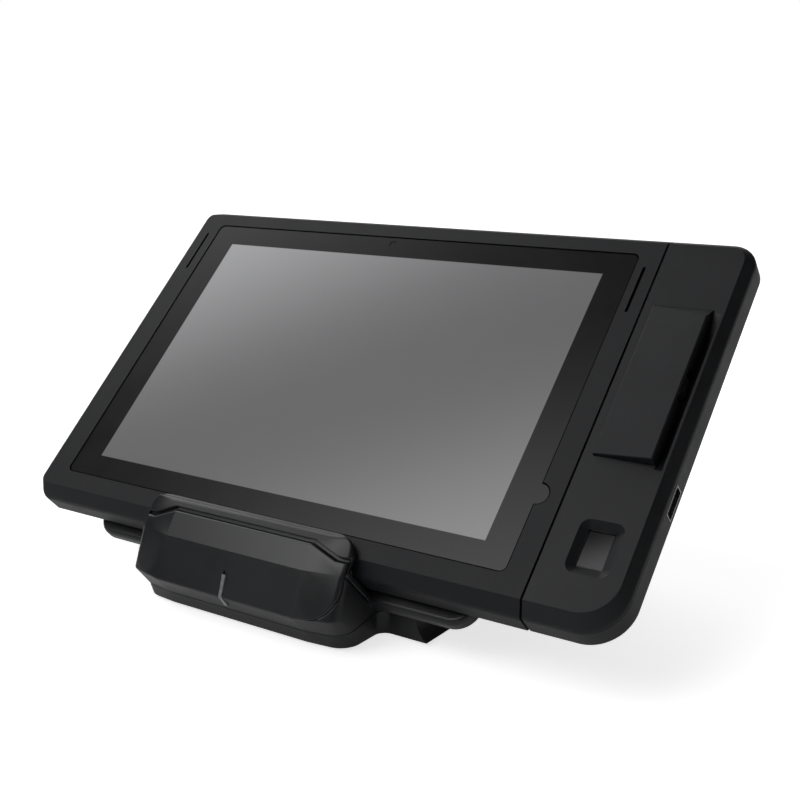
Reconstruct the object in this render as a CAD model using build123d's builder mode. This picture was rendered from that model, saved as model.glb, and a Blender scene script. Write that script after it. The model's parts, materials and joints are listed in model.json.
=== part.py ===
"""Tablet-type self checkout terminal in a countertop dock.

Frame: millimetres, +Z up, +X to the right of a person facing the screen, -Y towards that person.
The origin is on the table top, straight below the centre of the display.

The tablet and its side reader module lean back, so their pieces are drawn in a second frame, SCREEN:
x to the right, y up along the screen, z out of the glass, with its origin at the display's centre.
"""
import math
import os

from build123d import *

os.makedirs("parts", exist_ok=True)

# ---------------------------------------------------------------- driving dimensions
LEAN = 43.7                    # angle between the screen and the table
FOOT_HEIGHT = 1.5              # rubber feet stand out of the base by this much
SCREEN_HEIGHT = 98.1 + FOOT_HEIGHT

GLASS = (-123.2, 122.0, -79.0, 79.8)        # left, right, bottom, top
GLASS_T = 1.8
EAR_Y, EAR_R = -43.5, 4.8                   # round tab on the right edge of the glass

FACE_Z = 0.4                                # bezel face, just proud of the glass
BEVEL_Z = -5.1                              # where the bevel meets the side wall
PART_Z = -6.2                               # parting line between front and rear shells
BACK_Z = -17.5
SEAM = 0.3                                  # open parting line
WALL = 2.2

TABLET_L, TABLET_R = -136.5, 132.6
FACE_B, FACE_T = -88.0, 87.0                # bezel face, bottom and top edges
BODY_B, BODY_T = -93.7, 92.5                # outer walls, bottom and top

MODULE_L, MODULE_FACE_R, MODULE_R = 133.6, 168.8, 171.9
PAD = (138.0, 164.0, -22.5, 53.0)           # card reader cover: left, right, bottom, top
PAD_RISE_L, PAD_RISE_R = 1.3, 4.6           # its height over the face, left and right edges
SWIPE_W, SWIPE_DEPTH = 3.2, 4.6
SWIPE_HEAD, SWIPE_TAIL = 13.0, 10.0         # lengths of the channel's sloping ends
FINGER_X, FINGER_Y = 152.8, -62.0           # fingerprint window centre

BUMP_HALF = 57.5                            # front block of the dock
WING_HALF = 80.3                            # base of the dock at the table
CRADLE_HALF = 106.5                         # plate behind the tablet
CRADLE_BOTTOM, CRADLE_TOP = -98.2, 40.0
CRADLE_FRONT_Z, CRADLE_BACK_Z = -18.3, -25.5
WELL_Y = -94.4                              # floor that carries the tablet's lower edge
HOOK_Y = -97.4                              # underside of that floor
BASE_REAR = 76.0
SCREW_HEAD_R = 2.6

SIN, COS = math.sin(math.radians(LEAN)), math.cos(math.radians(LEAN))
SCREEN = Plane(origin=(0, 0, SCREEN_HEIGHT), x_dir=(1, 0, 0), z_dir=(0, -SIN, COS))
OUTWARD = Axis(SCREEN.origin, SCREEN.z_dir)
UPWARD = Axis(SCREEN.origin, SCREEN.y_dir)


def level(z):
    """Plane parallel to the screen, z in front of the glass."""
    return SCREEN.offset(z)


def side(x):
    """Plane across the tablet at x, drawn in (up the screen, out of the glass)."""
    return Plane(origin=SCREEN.origin + Vector(x, 0, 0), x_dir=SCREEN.y_dir, z_dir=(1, 0, 0))


def lower(y):
    """Plane across the tablet at y, facing down the screen, drawn in (x, out of the glass)."""
    return Plane(origin=SCREEN.origin + SCREEN.y_dir * y, x_dir=(1, 0, 0), z_dir=SCREEN.y_dir * -1)


def block(x, y, z, mode=Mode.ADD):
    """Box between two limits on each axis of the screen frame."""
    with BuildSketch(level(z[0])) as plan:
        with Locations(((x[0] + x[1]) / 2, (y[0] + y[1]) / 2)):
            Rectangle(x[1] - x[0], y[1] - y[0])
    extrude(plan.sketch, amount=z[1] - z[0], dir=SCREEN.z_dir, mode=mode)


def upright(x, y, z, mode=Mode.ADD):
    """Box between two limits on each axis of the row's own frame."""
    with Locations(((x[0] + x[1]) / 2, (y[0] + y[1]) / 2, (z[0] + z[1]) / 2)):
        Box(x[1] - x[0], y[1] - y[0], z[1] - z[0], mode=mode)


def on_table(y, z):
    """Screen-frame (y, z) given as the row's (Y, Z)."""
    return (COS * y - SIN * z, SCREEN_HEIGHT + SIN * y + COS * z)


def rims(part, z, from_x):
    """Edges of a part that run level with the screen at z, to the right of from_x."""
    def on_level(edge):
        heights = [SCREEN.to_local_coords(vertex.center()).Z for vertex in edge.vertices()]
        return edge.center().X > from_x and max(abs(height - z) for height in heights) < 0.01
    return part.edges().filter_by(on_level)


# ---------------------------------------------------------------- tablet casing
BEVEL_RIM, FACE_RIM, BACK_RIM = 3.0, 0.4, 0.6   # edge radii where the bevel, the face and the back meet
TABLET_PLAN_W, TABLET_PLAN_H = TABLET_R - TABLET_L, BODY_T - BODY_B
TABLET_MID = ((TABLET_L + TABLET_R) / 2, (BODY_B + BODY_T) / 2)

with BuildPart() as tablet_form:
    with BuildSketch(side(TABLET_L)):
        with BuildLine():
            Polyline(
                (FACE_B, FACE_Z),
                (FACE_T, FACE_Z),
                (BODY_T, BEVEL_Z),
                (BODY_T, BACK_Z + 2.5),
                (BODY_T - 2.5, BACK_Z),
                (BODY_B + 2.5, BACK_Z),
                (BODY_B, BACK_Z + 2.5),
                (BODY_B, BEVEL_Z),
                close=True,
            )
        make_face()
    extrude(amount=TABLET_PLAN_W)
    with BuildSketch(level(BACK_Z - 1)) as tablet_plan:
        with Locations(TABLET_MID):
            Rectangle(TABLET_PLAN_W, TABLET_PLAN_H)
        fillet(tablet_plan.vertices().group_by(Axis.X)[0], 5.0)
    extrude(amount=20, mode=Mode.INTERSECT)
    fillet(rims(tablet_form, BEVEL_Z, TABLET_L + 1).filter_by(Axis.X), BEVEL_RIM)

with BuildPart() as tablet_cavity:
    with BuildSketch(level(BACK_Z + WALL)) as cavity_plan:
        with Locations(TABLET_MID):
            Rectangle(TABLET_PLAN_W - 2 * WALL, TABLET_PLAN_H - 2 * WALL)
        fillet(cavity_plan.vertices().group_by(Axis.X)[0], 3.0)
    extrude(amount=-BACK_Z - WALL - 4.0)

GLASS_CX, GLASS_CY = (GLASS[0] + GLASS[1]) / 2, (GLASS[2] + GLASS[3]) / 2
GLASS_W, GLASS_H = GLASS[1] - GLASS[0], GLASS[3] - GLASS[2]
GLASS_GAP = 0.35
SPEAKERS = ((-129.4, 61.4), (126.6, 60.6))      # slot centres
SPEAKER_SLOT = (25.0, 1.4)
CAMERA_X, CAMERA_Y = -8.0, 75.9

with BuildPart() as bezel_frame:
    add(tablet_form.part)
    split(bisect_by=level(PART_Z), keep=Keep.TOP)
    add(tablet_cavity.part, mode=Mode.SUBTRACT)
    with BuildSketch(level(-2.2)) as glass_seat:
        with Locations((GLASS_CX, GLASS_CY)):
            RectangleRounded(GLASS_W + 2 * GLASS_GAP, GLASS_H + 2 * GLASS_GAP, 3.2)
        with Locations((GLASS[1], EAR_Y)):
            Circle(EAR_R + GLASS_GAP)
    extrude(amount=5, mode=Mode.SUBTRACT)
    block((-116, 116), (-74.5, 74.5), (-8, 0), mode=Mode.SUBTRACT)
    with BuildSketch(level(-8)) as speaker_slots:
        with Locations(SPEAKERS):
            SlotOverall(*SPEAKER_SLOT, rotation=90)
        with Locations((CAMERA_X, CAMERA_Y)):
            Circle(2.2)
    extrude(amount=10, mode=Mode.SUBTRACT)
bezel_frame.part.label = "bezel_frame"
export_step(bezel_frame.part, "parts/bezel_frame.step")

PORT_Z = -10.5                       # centre of the openings in the side walls
CATCH_X, CATCH_Y = 0.0, -40.0        # where the dock's catch meets the tablet's back
POST_X = 40.0                        # guide posts either side of the dock connector
POST_R = 2.0
DOCK_PLUG_W, DOCK_PLUG_H = 44.0, 5.0
VOLUME_Y, POWER_Y, CHARGE_Y = 28.0, 6.0, -30.0
SCREW_POINTS = [(x, y) for x in (-126, 0, 122) for y in (-78, 82)] + [(-126, 2), (122, 2)]
REAR_CAMERA = (100.0, 72.0)

with BuildPart() as rear_cover:
    add(tablet_form.part)
    split(bisect_by=level(PART_Z - SEAM), keep=Keep.BOTTOM)
    add(tablet_cavity.part, mode=Mode.SUBTRACT)
    # bosses that the cover screws pass through
    with BuildSketch(level(BACK_Z + WALL)):
        with Locations(SCREW_POINTS):
            Circle(3.6)
    extrude(amount=6)
    with BuildSketch(level(BACK_Z)):
        with Locations(SCREW_POINTS):
            Circle(SCREW_HEAD_R + 0.25)
    extrude(amount=2.0, mode=Mode.SUBTRACT)
    with BuildSketch(level(BACK_Z)):
        with Locations(SCREW_POINTS):
            Circle(1.3)
    extrude(amount=10, mode=Mode.SUBTRACT)
    # openings in the lower edge for the dock's plug and guide posts
    block((-DOCK_PLUG_W / 2 - 1, DOCK_PLUG_W / 2 + 1), (BODY_B - 1, BODY_B + WALL + 0.5),
          (PORT_Z - DOCK_PLUG_H / 2 - 0.5, PORT_Z + DOCK_PLUG_H / 2 + 0.5), mode=Mode.SUBTRACT)
    with BuildSketch(lower(BODY_B + WALL + 1)):
        with Locations((-POST_X, PORT_Z), (POST_X, PORT_Z)):
            Circle(POST_R + 0.4)
    extrude(amount=WALL + 2, mode=Mode.SUBTRACT)
    # shallow channel that the dock's catch runs in, open at the lower edge
    block((CATCH_X - 7, CATCH_X + 7), (BODY_B - 1, CATCH_Y + 6), (BACK_Z - 1, BACK_Z + 1.2),
          mode=Mode.SUBTRACT)
    # button and charging openings in the left wall
    block((TABLET_L - 1, TABLET_L + WALL + 1), (POWER_Y - 5.3, POWER_Y + 5.3), (PORT_Z - 2.3, PORT_Z + 2.3),
          mode=Mode.SUBTRACT)
    block((TABLET_L - 1, TABLET_L + WALL + 1), (VOLUME_Y - 10.3, VOLUME_Y + 10.3),
          (PORT_Z - 2.3, PORT_Z + 2.3), mode=Mode.SUBTRACT)
    block((TABLET_L - 1, TABLET_L + WALL + 1), (CHARGE_Y - 4.8, CHARGE_Y + 4.8), (PORT_Z - 1.9, PORT_Z + 1.9),
          mode=Mode.SUBTRACT)
    # cooling slots, rear camera and the opening towards the side module
    with BuildSketch(level(BACK_Z - 1)):
        with GridLocations(6, 0, 11, 1):
            with Locations((-60, 70)):
                SlotOverall(16, 2, rotation=90)
        with Locations(REAR_CAMERA):
            Circle(4.2)
    extrude(amount=5, mode=Mode.SUBTRACT)
    block((TABLET_R - WALL - 1, TABLET_R + 1), (18, 42), (PORT_Z - 2.5, PORT_Z + 2.5), mode=Mode.SUBTRACT)
rear_cover.part.label = "rear_cover"
export_step(rear_cover.part, "parts/rear_cover.step")

# ---------------------------------------------------------------- screen and tablet internals
with BuildPart() as touch_glass:
    with BuildSketch(level(-GLASS_T)):
        with Locations((GLASS_CX, GLASS_CY)):
            RectangleRounded(GLASS_W, GLASS_H, 3.0)
        with Locations((GLASS[1], EAR_Y)):
            Circle(EAR_R)
        with Locations((CAMERA_X, CAMERA_Y)):
            Circle(1.9, mode=Mode.SUBTRACT)
    extrude(amount=GLASS_T)
    chamfer(touch_glass.faces().sort_by(OUTWARD)[-1].outer_wire().edges(), 0.25)
touch_glass.part.label = "touch_glass"
export_step(touch_glass.part, "parts/touch_glass.step")

with BuildPart() as front_camera:
    with BuildSketch(level(-5.5)):
        with Locations((CAMERA_X, CAMERA_Y)):
            Circle(2.0)
    extrude(amount=3.2)
    with BuildSketch(level(-2.3)):
        with Locations((CAMERA_X, CAMERA_Y)):
            Circle(1.7)
    extrude(amount=2.1)
front_camera.part.label = "front_camera"
export_step(front_camera.part, "parts/front_camera.step")

with BuildPart() as display_panel:
    block((-114, 114), (-72.5, 72.5), (-5.2, -GLASS_T))
    block((-90, 90), (-72.5, -58), (-6.0, -5.2))
display_panel.part.label = "display_panel"
export_step(display_panel.part, "parts/display_panel.step")

with BuildPart() as chassis_plate:
    block((-120, 120), (-82, 82), (-7.6, -6.6))
    with BuildSketch(level(-8)):
        with GridLocations(44, 60, 5, 2):
            SlotOverall(26, 12)
    extrude(amount=2, mode=Mode.SUBTRACT)
chassis_plate.part.label = "chassis_plate"
export_step(chassis_plate.part, "parts/chassis_plate.step")

with BuildPart() as battery_pack:
    block((-112, -12), (-62, 42), (-14.4, -8.2))
    fillet(battery_pack.edges().filter_by(UPWARD), 1.6)
battery_pack.part.label = "battery_pack"
export_step(battery_pack.part, "parts/battery_pack.step")

with BuildPart() as main_board:
    block((4, 116), (-62, 62), (-9.6, -8.2))
    for x, y in ((90, 45), (90, 20), (22, 45)):
        block((x - 7, x + 7), (y - 6, y + 6), (-12.6, -9.6))
main_board.part.label = "main_board"
export_step(main_board.part, "parts/main_board.step")

with BuildPart() as heat_spreader:
    block((30, 74), (-20, 24), (-11.4, -9.6))
    with BuildSketch(level(-14.4)):
        with GridLocations(6, 0, 7, 1):
            with Locations((52, 2)):
                Rectangle(1.6, 40)
    extrude(amount=3)
heat_spreader.part.label = "heat_spreader"
export_step(heat_spreader.part, "parts/heat_spreader.step")

for name, (x, y) in zip(("speaker_left", "speaker_right"), SPEAKERS):
    with BuildPart() as speaker:
        block((x - 3.2, x + 3.2), (y - 17, y + 17), (-14.2, -8.6))
        fillet(speaker.edges().filter_by(OUTWARD), 1.5)
    speaker.part.label = name
    export_step(speaker.part, f"parts/{name}.step")

with BuildPart() as dock_receptacle:
    block((-DOCK_PLUG_W / 2, DOCK_PLUG_W / 2), (BODY_B + 0.6, BODY_B + 9), (PORT_Z - 2.5, PORT_Z + 2.2))
    block((-DOCK_PLUG_W / 2 + 2.5, DOCK_PLUG_W / 2 - 2.5), (BODY_B, BODY_B + 1.8),
          (PORT_Z - 1.2, PORT_Z + 1.2), mode=Mode.SUBTRACT)
dock_receptacle.part.label = "dock_receptacle"
export_step(dock_receptacle.part, "parts/dock_receptacle.step")

with BuildPart() as charge_port:
    block((TABLET_L + 0.3, TABLET_L + 8), (CHARGE_Y - 4.5, CHARGE_Y + 4.5), (PORT_Z - 1.6, PORT_Z + 1.6))
    fillet(charge_port.edges().filter_by(Axis.X), 1.5)
    block((TABLET_L - 1, TABLET_L + 7), (CHARGE_Y - 4.0, CHARGE_Y + 4.0), (PORT_Z - 1.1, PORT_Z + 1.1),
          mode=Mode.SUBTRACT)
    block((TABLET_L + 1.5, TABLET_L + 7), (CHARGE_Y - 3.0, CHARGE_Y + 3.0), (PORT_Z - 0.35, PORT_Z + 0.35))
charge_port.part.label = "charge_port"
export_step(charge_port.part, "parts/charge_port.step")

# buttons: a cap that stands out of the wall, and a wider flange that keeps it inside
for name, y, half in (("power_button", POWER_Y, 5.0), ("volume_rocker", VOLUME_Y, 10.0)):
    with BuildPart() as button:
        block((TABLET_L - 0.9, TABLET_L + 3.4), (y - half, y + half), (PORT_Z - 2, PORT_Z + 2))
        fillet(button.faces().sort_by(Axis.X)[0].edges(), 0.6)
        block((TABLET_L + 3.4, TABLET_L + 4.4), (y - half - 1.4, y + half + 1.4), (PORT_Z - 3, PORT_Z + 3))
    button.part.label = name
    export_step(button.part, f"parts/{name}.step")

with BuildPart() as rear_camera:
    with BuildSketch(level(-15.0)):
        with Locations(REAR_CAMERA):
            Circle(5.5)
    extrude(amount=3.2)
    with BuildSketch(level(-15.0)):
        with Locations(REAR_CAMERA):
            Circle(4.0)
    extrude(amount=-2.7)
    with BuildSketch(level(-17.7)):
        with Locations(REAR_CAMERA):
            Circle(2.4)
    extrude(amount=1.0, mode=Mode.SUBTRACT)
rear_camera.part.label = "rear_camera"
export_step(rear_camera.part, "parts/rear_camera.step")

with BuildPart() as tablet_screws:
    with BuildSketch(level(BACK_Z + 0.3)):
        with Locations(SCREW_POINTS):
            Circle(SCREW_HEAD_R)
    extrude(amount=1.6)
    with BuildSketch(level(BACK_Z + 0.3)):
        with Locations(SCREW_POINTS):
            RegularPolygon(1.3, 6)
    extrude(amount=0.9, mode=Mode.SUBTRACT)
    with BuildSketch(level(BACK_Z + 1.9)):
        with Locations(SCREW_POINTS):
            Circle(1.2)
    extrude(amount=6)
tablet_screws.part.label = "tablet_screws"
export_step(tablet_screws.part, "parts/tablet_screws.step")

# ---------------------------------------------------------------- side reader module


def module_outline(z, left, right, bottom, top, low_radius, top_radius):
    """Plan of the module with its two right-hand corners rounded."""
    with BuildSketch(level(z)) as outline:
        with Locations(((left + right) / 2, (bottom + top) / 2)):
            Rectangle(right - left, top - bottom)
        fillet(outline.vertices().group_by(Axis.Y)[0].sort_by(Axis.X)[-1], low_radius)
        fillet(outline.vertices().group_by(Axis.Y)[-1].sort_by(Axis.X)[-1], top_radius)
    return outline.sketch


MODULE_FACE = (MODULE_L, MODULE_FACE_R, FACE_B, FACE_T, 15.0, 7.0)
MODULE_BODY = (MODULE_L, MODULE_R, BODY_B + 0.3, BODY_T, 18.0, 12.0)
MODULE_BACK = (MODULE_L, MODULE_R - 2, BODY_B + 2.3, BODY_T - 2, 16.0, 10.0)
MODULE_HOLLOW = (MODULE_L + WALL, MODULE_R - WALL, BODY_B + WALL + 0.3, BODY_T - WALL, 15.8, 9.8)
MODULE_HEADROOM = (MODULE_L + WALL, MODULE_FACE_R - 1, FACE_B + 1, FACE_T - 1, 14.0, 6.0)

with BuildPart() as module_form:
    loft([module_outline(FACE_Z, *MODULE_FACE), module_outline(BEVEL_Z, *MODULE_BODY)], ruled=True)
    extrude(module_outline(BEVEL_Z, *MODULE_BODY), amount=BACK_Z + 2 - BEVEL_Z, dir=SCREEN.z_dir)
    loft([module_outline(BACK_Z + 2, *MODULE_BODY), module_outline(BACK_Z, *MODULE_BACK)], ruled=True)
    fillet(rims(module_form, BEVEL_Z, MODULE_L + 0.01), BEVEL_RIM)
    fillet(rims(module_form, FACE_Z, MODULE_L + 0.01), FACE_RIM)
    fillet(rims(module_form, BACK_Z + 2, MODULE_L + 0.01), BACK_RIM)

SWIPE_X = PAD[1] + 0.3
with BuildPart() as module_front_shell:
    add(module_form.part)
    split(bisect_by=level(PART_Z), keep=Keep.TOP)
    extrude(module_outline(PART_Z - 1, *MODULE_HEADROOM), amount=5, dir=SCREEN.z_dir, mode=Mode.SUBTRACT)
    # swipe channel: a trough with a floor and two walls, sloping out at both ends
    block((PAD[0] + 1, MODULE_R - 3.2), (PAD[2] - SWIPE_TAIL + 6, PAD[3] + 2), (PART_Z, -1))
    with BuildSketch(side(SWIPE_X)):
        with BuildLine():
            Polyline(
                (PAD[2] + 8 - SWIPE_TAIL, FACE_Z),
                (PAD[2] + 8, -SWIPE_DEPTH),
                (PAD[3] - 1 - SWIPE_HEAD, -SWIPE_DEPTH),
                (PAD[3] - 1, FACE_Z),
                (PAD[3] - 1, FACE_Z + 2),
                (PAD[2] + 8 - SWIPE_TAIL, FACE_Z + 2),
                close=True,
            )
        make_face()
    extrude(amount=SWIPE_W, mode=Mode.SUBTRACT)
    # pocket that the reader cover drops into
    block((PAD[0] - 0.2, SWIPE_X), (PAD[2] - 0.2, PAD[3] + 0.15), (-SWIPE_DEPTH, FACE_Z + 1),
          mode=Mode.SUBTRACT)
    # dished recess over the fingerprint window
    with BuildSketch(level(FACE_Z)) as dish_top:
        with Locations((FINGER_X + 0.6, FINGER_Y + 0.6)):
            RectangleRounded(18.6, 23.2, 4.2)
    with BuildSketch(level(-1.8)) as dish_floor:
        with Locations((FINGER_X + 0.3, FINGER_Y + 0.6)):
            RectangleRounded(11.6, 16.2, 1.2)
    loft([dish_top.sketch, dish_floor.sketch], ruled=True, mode=Mode.SUBTRACT)
    block((FINGER_X - 5.4, FINGER_X + 6.0), (FINGER_Y - 7.4, FINGER_Y + 8.6), (PART_Z - 1, -1.5),
          mode=Mode.SUBTRACT)
module_front_shell.part.label = "module_front_shell"
export_step(module_front_shell.part, "parts/module_front_shell.step")

USB_Y, USB_L, USB_H = -31.5, 13.4, 5.8
MODULE_SCREWS = [(140, -84), (140, 84), (160, -78), (160, 78)]

with BuildPart() as module_rear_shell:
    add(module_form.part)
    split(bisect_by=level(PART_Z - SEAM), keep=Keep.BOTTOM)
    extrude(module_outline(BACK_Z + WALL, *MODULE_HOLLOW), amount=20, dir=SCREEN.z_dir, mode=Mode.SUBTRACT)
    with BuildSketch(level(BACK_Z + WALL)):
        with Locations(MODULE_SCREWS):
            Circle(3.4)
    extrude(amount=6)
    with BuildSketch(level(BACK_Z)):
        with Locations(MODULE_SCREWS):
            Circle(SCREW_HEAD_R + 0.25)
    extrude(amount=2.0, mode=Mode.SUBTRACT)
    with BuildSketch(level(BACK_Z)):
        with Locations(MODULE_SCREWS):
            Circle(1.3)
    extrude(amount=10, mode=Mode.SUBTRACT)
    block((MODULE_R - 4, MODULE_R + 1), (USB_Y - USB_L / 2 - 0.2, USB_Y + USB_L / 2 + 0.2),
          (PORT_Z - USB_H / 2 - 0.2, PORT_Z + USB_H / 2 + 0.2), mode=Mode.SUBTRACT)
    block((MODULE_L - 1, MODULE_L + WALL + 1), (18, 42), (PORT_Z - 2.5, PORT_Z + 2.5), mode=Mode.SUBTRACT)
module_rear_shell.part.label = "module_rear_shell"
export_step(module_rear_shell.part, "parts/module_rear_shell.step")

HEAD_Y = 15.0
with BuildPart() as reader_cover:
    with BuildSketch(lower(PAD[3])):
        with BuildLine():
            Polyline(
                (PAD[0], -3.0),
                (PAD[1], -3.0),
                (PAD[1], FACE_Z + PAD_RISE_R),
                (PAD[0], FACE_Z + PAD_RISE_L),
                close=True,
            )
        make_face()
    extrude(amount=PAD[3] - PAD[2])
    fillet(reader_cover.faces().sort_by(OUTWARD)[-1].edges(), 0.5)
    # the top end runs down to the face as a ramp
    with BuildSketch(side(PAD[0] - 1)):
        with BuildLine():
            ramp = Spline((PAD[3] + 0.1, FACE_Z), (PAD[3] - 3.0, 2.9), (PAD[3] - 9.0, 6.5),
                          tangents=((-1, 1.4), (-1, 0.35)))
            Polyline(ramp @ 1, (PAD[3] + 3, 6.5), (PAD[3] + 3, FACE_Z), ramp @ 0)
        make_face()
    extrude(amount=PAD[1] - PAD[0] + 2, mode=Mode.SUBTRACT)
    # window for the magnetic head in the wall beside the channel
    block((PAD[1] - 7.0, PAD[1] + 1), (HEAD_Y - 8, HEAD_Y + 8), (-4, FACE_Z + 2.6), mode=Mode.SUBTRACT)
reader_cover.part.label = "reader_cover"
export_step(reader_cover.part, "parts/reader_cover.step")

with BuildPart() as magnetic_head:
    block((PAD[1] - 4.6, PAD[1] - 0.1), (HEAD_Y - 5, HEAD_Y + 5), (-2.6, FACE_Z + 1.8))
    fillet(magnetic_head.faces().sort_by(Axis.X)[-1].edges().filter_by(OUTWARD), 2.2)
magnetic_head.part.label = "magnetic_head"
export_step(magnetic_head.part, "parts/magnetic_head.step")

with BuildPart() as head_spring:
    block((PAD[1] - 6.6, PAD[1] - 6.2), (HEAD_Y - 7.5, HEAD_Y + 7.5), (-2.4, FACE_Z + 1.2))
    block((PAD[1] - 6.2, PAD[1] - 5.6), (HEAD_Y - 7.5, HEAD_Y - 6.5), (-2.4, FACE_Z + 1.2))
    block((PAD[1] - 6.2, PAD[1] - 5.6), (HEAD_Y + 6.5, HEAD_Y + 7.5), (-2.4, FACE_Z + 1.2))
head_spring.part.label = "head_spring"
export_step(head_spring.part, "parts/head_spring.step")

with BuildPart() as fingerprint_sensor:
    block((FINGER_X - 5.2, FINGER_X + 5.8), (FINGER_Y - 7.2, FINGER_Y + 8.4), (-7.5, -1.9))
    chamfer(fingerprint_sensor.faces().sort_by(OUTWARD)[-1].edges(), 0.3)
fingerprint_sensor.part.label = "fingerprint_sensor"
export_step(fingerprint_sensor.part, "parts/fingerprint_sensor.step")

with BuildPart() as usb_port_shell:
    block((MODULE_R - 14, MODULE_R + 0.1), (USB_Y - USB_L / 2, USB_Y + USB_L / 2),
          (PORT_Z - USB_H / 2, PORT_Z + USB_H / 2))
    block((MODULE_R - 13.4, MODULE_R + 1), (USB_Y - USB_L / 2 + 0.4, USB_Y + USB_L / 2 - 0.4),
          (PORT_Z - USB_H / 2 + 0.4, PORT_Z + USB_H / 2 - 0.4), mode=Mode.SUBTRACT)
usb_port_shell.part.label = "usb_port_shell"
export_step(usb_port_shell.part, "parts/usb_port_shell.step")

with BuildPart() as usb_port_tongue:
    block((MODULE_R - 13.4, MODULE_R - 11.8), (USB_Y - 6.2, USB_Y + 6.2), (PORT_Z - 2.4, PORT_Z + 2.4))
    block((MODULE_R - 11.8, MODULE_R - 1.2), (USB_Y - 5.6, USB_Y + 5.6), (PORT_Z - 2.2, PORT_Z - 0.6))
usb_port_tongue.part.label = "usb_port_tongue"
export_step(usb_port_tongue.part, "parts/usb_port_tongue.step")

with BuildPart() as module_board:
    block((MODULE_L + 3, MODULE_R - 3.5), (-70, 70), (-14.9, -13.7))
    for y in (50, -5):
        block((144, 156), (y - 6, y + 6), (-13.7, -11.7))
module_board.part.label = "module_board"
export_step(module_board.part, "parts/module_board.step")

with BuildPart() as link_connector:
    block((TABLET_R - 6, MODULE_L + 6), (20, 40), (PORT_Z - 2, PORT_Z + 2))
link_connector.part.label = "link_connector"
export_step(link_connector.part, "parts/link_connector.step")

with BuildPart() as module_screws:
    with BuildSketch(level(BACK_Z + 0.3)):
        with Locations(MODULE_SCREWS):
            Circle(SCREW_HEAD_R)
    extrude(amount=1.6)
    with BuildSketch(level(BACK_Z + 0.3)):
        with Locations(MODULE_SCREWS):
            RegularPolygon(1.3, 6)
    extrude(amount=0.9, mode=Mode.SUBTRACT)
    with BuildSketch(level(BACK_Z + 1.9)):
        with Locations(MODULE_SCREWS):
            Circle(1.2)
    extrude(amount=6)
module_screws.part.label = "module_screws"
export_step(module_screws.part, "parts/module_screws.step")

# ---------------------------------------------------------------- dock: outer forms
# The front block's section in (Y, Z), from the table up to the brow under the hook
BLOCK_FOOT = (-73.5, FOOT_HEIGHT)
BLOCK_SEAM = (-76.1, 7.6)
BLOCK_CHIN = (-84.4, 16.4)
BLOCK_BROW = (-76.5, 34.2)
HOOK_FOLD = on_table(-89.0, 8.0)            # where the cover meets the hook
HOOK_INNER_Z, HOOK_TOP_Y = 0.9, -80.8
WING_Y = -47.7                              # front wall of the base beside the block
STAND_TOP_Z = 13.0                          # where the side walls turn upright
SHELL = 2.6
NECK_R = 5.0
COVER_T = 2.4                               # cover thickness, measured level
KNEE_X = 38.0                               # where the front bends back towards the sides
BLOCK_REAR = -38.0


def block_plan(section_point, bow, radius):
    """Level outline of the front block where its section passes through (Y, Z); its ends lie back by bow."""
    front, height = section_point
    with BuildSketch(Plane.XY.offset(height)) as outline:
        with BuildLine():
            Polyline(
                (-BUMP_HALF, BLOCK_REAR),
                (-BUMP_HALF, front + bow),
                (-KNEE_X, front),
                (KNEE_X, front),
                (BUMP_HALF, front + bow),
                (BUMP_HALF, BLOCK_REAR),
                close=True,
            )
        make_face()
        fillet(outline.vertices().group_by(Axis.X)[0].sort_by(Axis.Y)[0], radius)
        fillet(outline.vertices().group_by(Axis.X)[-1].sort_by(Axis.Y)[0], radius)
    return outline.sketch


# the face above the brow, carried on past the fold so that the hook's own facets can cut it
BEYOND_FOLD = (HOOK_FOLD[0] + (HOOK_FOLD[0] - BLOCK_BROW[0]), HOOK_FOLD[1] + (HOOK_FOLD[1] - BLOCK_BROW[1]))
BLOCK_STACK = [                             # section point, bow and corner radius, from the table up
    (BLOCK_FOOT, 2.0, 9.0),
    (BLOCK_SEAM, 2.6, 9.0),
    (BLOCK_CHIN, 5.0, 5.0),
    (BLOCK_BROW, 4.2, 3.5),
    (BEYOND_FOLD, 4.2, 3.5),
]

with BuildPart() as block_form:
    for below, above in zip(BLOCK_STACK, BLOCK_STACK[1:]):
        loft([block_plan(*below), block_plan(*above)], ruled=True)
    # section of the hook, and of the well that the tablet's lower edge stands in
    with BuildSketch(Plane.YZ.offset(-BUMP_HALF - 1)):
        with BuildLine():
            Polyline(
                (-95, 25.1),
                on_table(-84.0, 7.4),
                on_table(HOOK_TOP_Y, 5.2),
                on_table(HOOK_TOP_Y, HOOK_INNER_Z),
                on_table(WELL_Y, HOOK_INNER_Z),
                on_table(WELL_Y, CRADLE_BACK_Z),
                (BLOCK_REAR - 1, 25),
                (BLOCK_REAR - 1, 0),
                (-95, 0),
                close=True,
            )
        make_face()
    extrude(amount=2 * BUMP_HALF + 2, mode=Mode.INTERSECT)
    # the hook's upper corners are round as seen from in front of the screen
    with BuildSketch(level(-90)) as hook_plan:
        with Locations((0, HOOK_TOP_Y - 40)):
            Rectangle(2 * BUMP_HALF + 1, 80)
        fillet(hook_plan.vertices().group_by(Axis.Y)[-1], 11.0)
    extrude(amount=120, mode=Mode.INTERSECT)

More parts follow.
